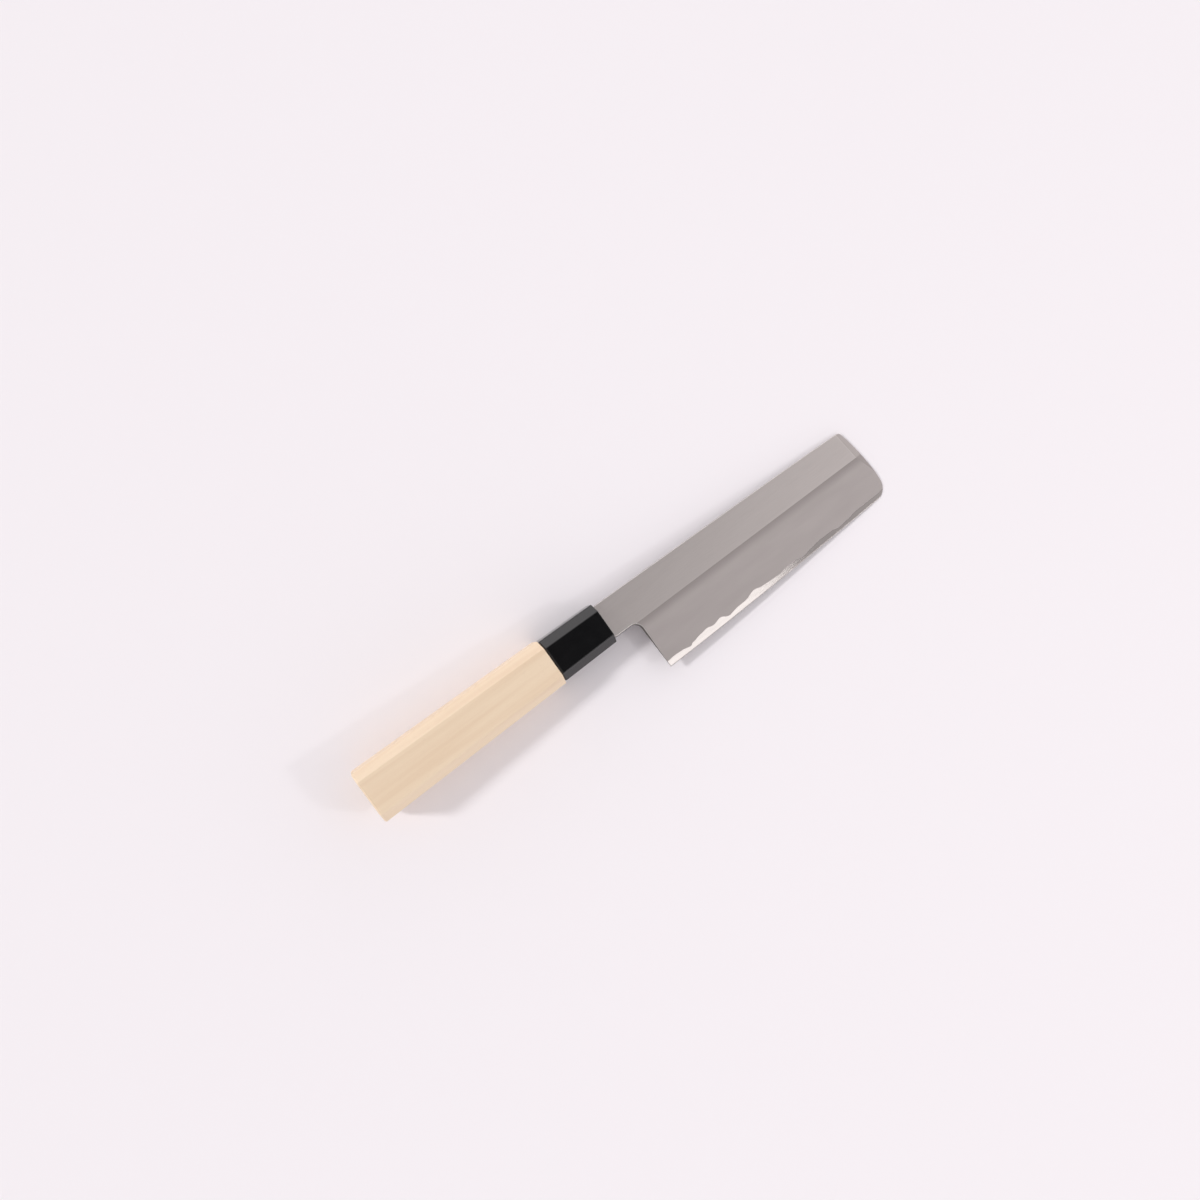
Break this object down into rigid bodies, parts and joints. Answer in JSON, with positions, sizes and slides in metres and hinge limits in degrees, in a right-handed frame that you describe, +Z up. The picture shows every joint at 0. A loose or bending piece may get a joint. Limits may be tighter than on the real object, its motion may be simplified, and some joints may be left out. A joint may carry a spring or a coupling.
{
  "type": "usuba knife",
  "caption": "Single-bevel Japanese vegetable knife with a tall flat blade, black octagonal ferrule and tapered pale wooden handle.",
  "frame": {"origin": "under the middle of the knife's box, on the surface it lies on", "axes": "+X from the butt to the tip, +Y from the cutting edge to the spine, +Z up out of the bevelled front of the blade"},
  "size_m": [0.289, 0.0488, 0.0248],
  "materials": {
    "soft_iron": "satin grey, finely brushed along the blade",
    "edge_steel": "polished hard steel, white where it mirrors a lamp",
    "black_ferrule": "glossy black",
    "pale_wood": "bare sanded magnolia wood"
  },
  "bodies": {
    "root": {"soft_iron_body": "soft_iron", "edge_steel": "edge_steel", "ferrule": "black_ferrule", "wooden_handle": "pale_wood"}
  },
  "joints": []
}
